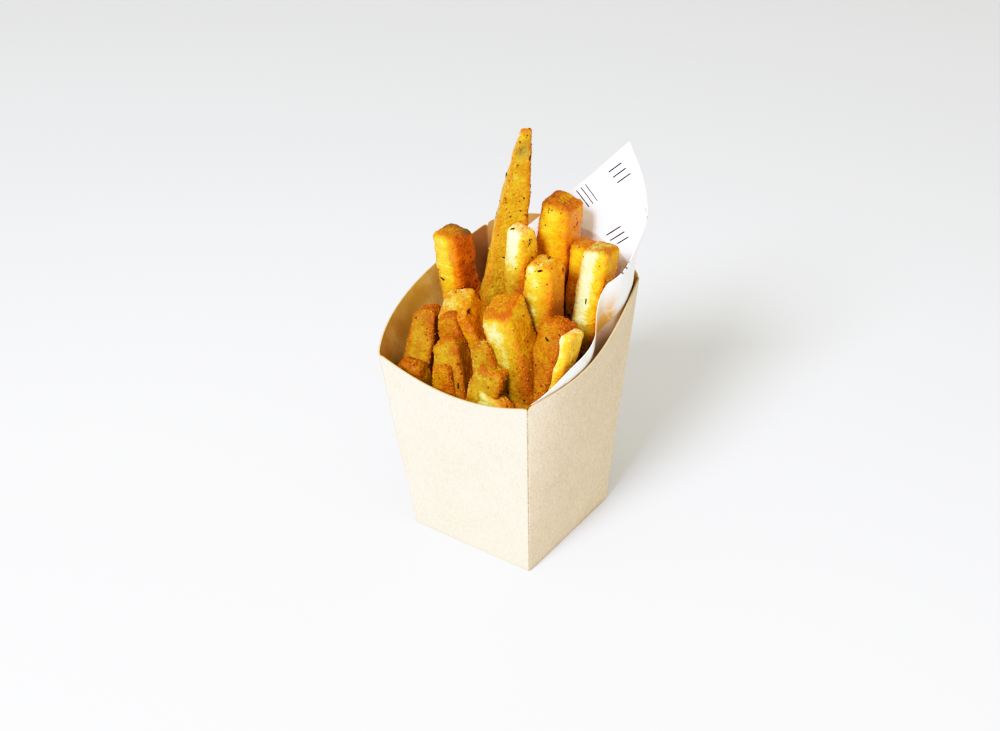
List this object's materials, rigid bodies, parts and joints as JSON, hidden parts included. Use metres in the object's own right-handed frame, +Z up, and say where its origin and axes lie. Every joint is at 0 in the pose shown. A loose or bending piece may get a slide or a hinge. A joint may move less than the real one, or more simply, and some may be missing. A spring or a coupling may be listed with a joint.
{
  "type": "french fries in carton",
  "caption": "Thick-cut fries standing in an open square carton, low in front and arched behind, with a loose paper liner.",
  "frame": {"origin": "centre of the carton's square base, on the face that it stands on", "axes": "+Z up, -Y towards the low front wall, +X towards the right side wall"},
  "size_m": [0.0767, 0.0673, 0.147],
  "materials": {
    "kraft_board": "matte",
    "greaseproof_paper": "matte",
    "fried_potato": "satin"
  },
  "bodies": {
    "root": {"carton": "kraft_board", "paper_liner": "greaseproof_paper", "fries": "fried_potato"}
  },
  "joints": []
}
